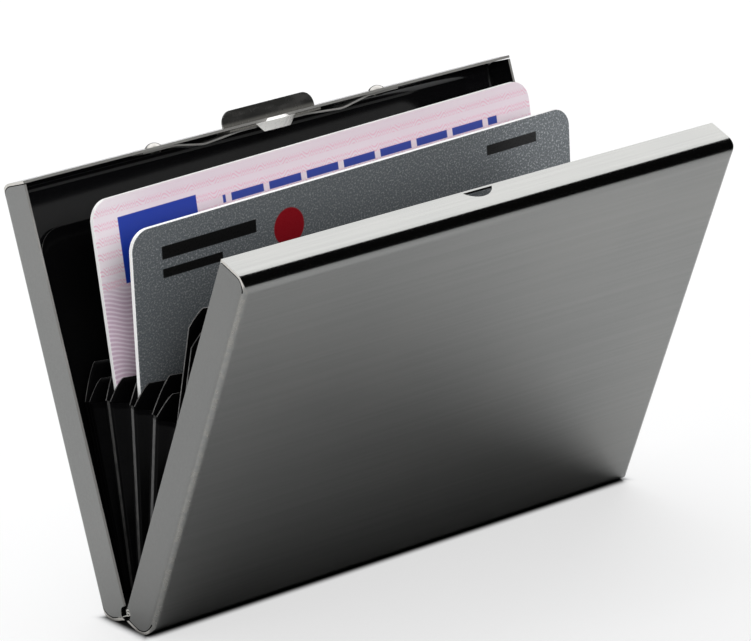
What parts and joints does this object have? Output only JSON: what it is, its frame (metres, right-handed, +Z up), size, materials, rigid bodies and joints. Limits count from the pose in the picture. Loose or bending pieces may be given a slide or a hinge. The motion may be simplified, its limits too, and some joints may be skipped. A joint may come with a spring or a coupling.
{
  "type": "card case wallet",
  "caption": "Slim pressed-steel card case on a piano hinge, open as a V, with a press-tab latch and black pleated pockets that fan out and hold cards.",
  "frame": {"origin": "on the surface the open case stands on, under the hinge axis, at the middle of its length", "axes": "+X along the hinge, -Y towards the front shell (the one with the slot), +Z up"},
  "size_m": [0.0952, 0.055, 0.0646],
  "materials": {
    "case_steel": "dark gunmetal plated, fine brushed outside, gloss black inside",
    "hinge_steel": "bright nickel",
    "rivet_steel": "bright",
    "spring_steel": "dark polished",
    "button_steel": "dark polished",
    "pocket_film": "black satin film",
    "foam_tape": "matt foam tape",
    "card_rear_print": "printed card, pale with a fine line pattern",
    "card_front_print": "printed card, metallic grey fleck"
  },
  "bodies": {
    "rear_shell": {"rear_shell": "case_steel", "hinge_leaf_rear": "hinge_steel", "hinge_pin": "hinge_steel", "latch_spring": "spring_steel", "latch_rivet_left": "rivet_steel", "latch_rivet_right": "rivet_steel", "tape_rear": "foam_tape", "liner_rear": "pocket_film"},
    "front_shell": {"front_shell": "case_steel", "hinge_leaf_front": "hinge_steel", "tape_front": "foam_tape", "liner_front": "pocket_film"},
    "latch_button": {"latch_button": "button_steel"},
    "card_rear": {"card_rear": "card_rear_print"},
    "card_front": {"card_front": "card_front_print"},
    "fold_1": {"fold_1": "pocket_film"},
    "fold_2": {"fold_2": "pocket_film"},
    "fold_3": {"fold_3": "pocket_film"},
    "fold_4": {"fold_4": "pocket_film"},
    "fold_5": {"fold_5": "pocket_film"},
    "pocket_1": {"pocket_1_back": "pocket_film", "pocket_1_front": "pocket_film", "pocket_1_hem": "pocket_film"},
    "pocket_2": {"pocket_2_back": "pocket_film", "pocket_2_front": "pocket_film", "pocket_2_hem": "pocket_film"},
    "pocket_3": {"pocket_3_back": "pocket_film", "pocket_3_front": "pocket_film", "pocket_3_hem": "pocket_film"},
    "pocket_4": {"pocket_4_back": "pocket_film", "pocket_4_front": "pocket_film", "pocket_4_hem": "pocket_film"},
    "pocket_5": {"pocket_5_back": "pocket_film", "pocket_5_front": "pocket_film", "pocket_5_hem": "pocket_film"},
    "pocket_6": {"pocket_6_back": "pocket_film", "pocket_6_front": "pocket_film", "pocket_6_hem": "pocket_film"}
  },
  "joints": [
    {"name": "case_hinge", "type": "hinge", "parent": "rear_shell", "child": "front_shell", "pos_m": [0, 0, 0.00208], "axis": [1, 0, 0], "range_deg": [-40.68, 0]},
    {"name": "fold_1_fan", "type": "hinge", "parent": "rear_shell", "child": "fold_1", "pos_m": [0, 0, 0.00208], "axis": [1, 0, 0], "range_deg": [-6.88, 0], "deforming": ["fold_1"]},
    {"name": "fold_2_fan", "type": "hinge", "parent": "rear_shell", "child": "fold_2", "pos_m": [0, 0, 0.00208], "axis": [1, 0, 0], "range_deg": [-13.74, 0], "deforming": ["fold_2"]},
    {"name": "fold_3_fan", "type": "hinge", "parent": "rear_shell", "child": "fold_3", "pos_m": [0, 0, 0.00208], "axis": [1, 0, 0], "range_deg": [-20.6, 0], "deforming": ["fold_3"]},
    {"name": "fold_4_fan", "type": "hinge", "parent": "rear_shell", "child": "fold_4", "pos_m": [0, 0, 0.00208], "axis": [1, 0, 0], "range_deg": [-27.37, 0], "deforming": ["fold_4"]},
    {"name": "fold_5_fan", "type": "hinge", "parent": "rear_shell", "child": "fold_5", "pos_m": [0, 0, 0.00208], "axis": [1, 0, 0], "range_deg": [-34.18, 0], "deforming": ["fold_5"]},
    {"name": "pocket_1_fan", "type": "hinge", "parent": "rear_shell", "child": "pocket_1", "pos_m": [0, 0, 0.00208], "axis": [1, 0, 0], "range_deg": [-3.67, 0]},
    {"name": "pocket_2_fan", "type": "hinge", "parent": "rear_shell", "child": "pocket_2", "pos_m": [0, 0, 0.00208], "axis": [1, 0, 0], "range_deg": [-10.08, 0]},
    {"name": "pocket_3_fan", "type": "hinge", "parent": "rear_shell", "child": "pocket_3", "pos_m": [0, 0, 0.00208], "axis": [1, 0, 0], "range_deg": [-17.4, 0]},
    {"name": "pocket_4_fan", "type": "hinge", "parent": "rear_shell", "child": "pocket_4", "pos_m": [0, 0, 0.00208], "axis": [1, 0, 0], "range_deg": [-23.81, 0]},
    {"name": "pocket_5_fan", "type": "hinge", "parent": "rear_shell", "child": "pocket_5", "pos_m": [0, 0, 0.00208], "axis": [1, 0, 0], "range_deg": [-30.93, 0]},
    {"name": "pocket_6_fan", "type": "hinge", "parent": "rear_shell", "child": "pocket_6", "pos_m": [0, 0, 0.00208], "axis": [1, 0, 0], "range_deg": [-37.44, 0]},
    {"name": "latch_press", "type": "slide", "parent": "rear_shell", "child": "latch_button", "axis": [0, -0.3476, -0.9376], "range_m": [0, 0.001], "stiffness_N_per_m": 1500, "deforming": ["latch_spring"]},
    {"name": "card_rear_slide", "type": "slide", "parent": "pocket_2", "child": "card_rear", "axis": [0, 0.1783, 0.984], "range_m": [-0.0032, 0.0011]},
    {"name": "card_front_slide", "type": "slide", "parent": "pocket_3", "child": "card_front", "axis": [0, 0.0515, 0.9987], "range_m": [-0.0002, 0.0042]}
  ],
  "couplings": [
    {"joint": "fold_1_fan", "follows": "case_hinge", "ratio": 0.16875},
    {"joint": "fold_2_fan", "follows": "case_hinge", "ratio": 0.3375},
    {"joint": "fold_3_fan", "follows": "case_hinge", "ratio": 0.50625},
    {"joint": "fold_4_fan", "follows": "case_hinge", "ratio": 0.6725},
    {"joint": "fold_5_fan", "follows": "case_hinge", "ratio": 0.84},
    {"joint": "pocket_1_fan", "follows": "case_hinge", "ratio": 0.09},
    {"joint": "pocket_2_fan", "follows": "case_hinge", "ratio": 0.2475},
    {"joint": "pocket_3_fan", "follows": "case_hinge", "ratio": 0.4275},
    {"joint": "pocket_4_fan", "follows": "case_hinge", "ratio": 0.585},
    {"joint": "pocket_5_fan", "follows": "case_hinge", "ratio": 0.76},
    {"joint": "pocket_6_fan", "follows": "case_hinge", "ratio": 0.92}
  ]
}
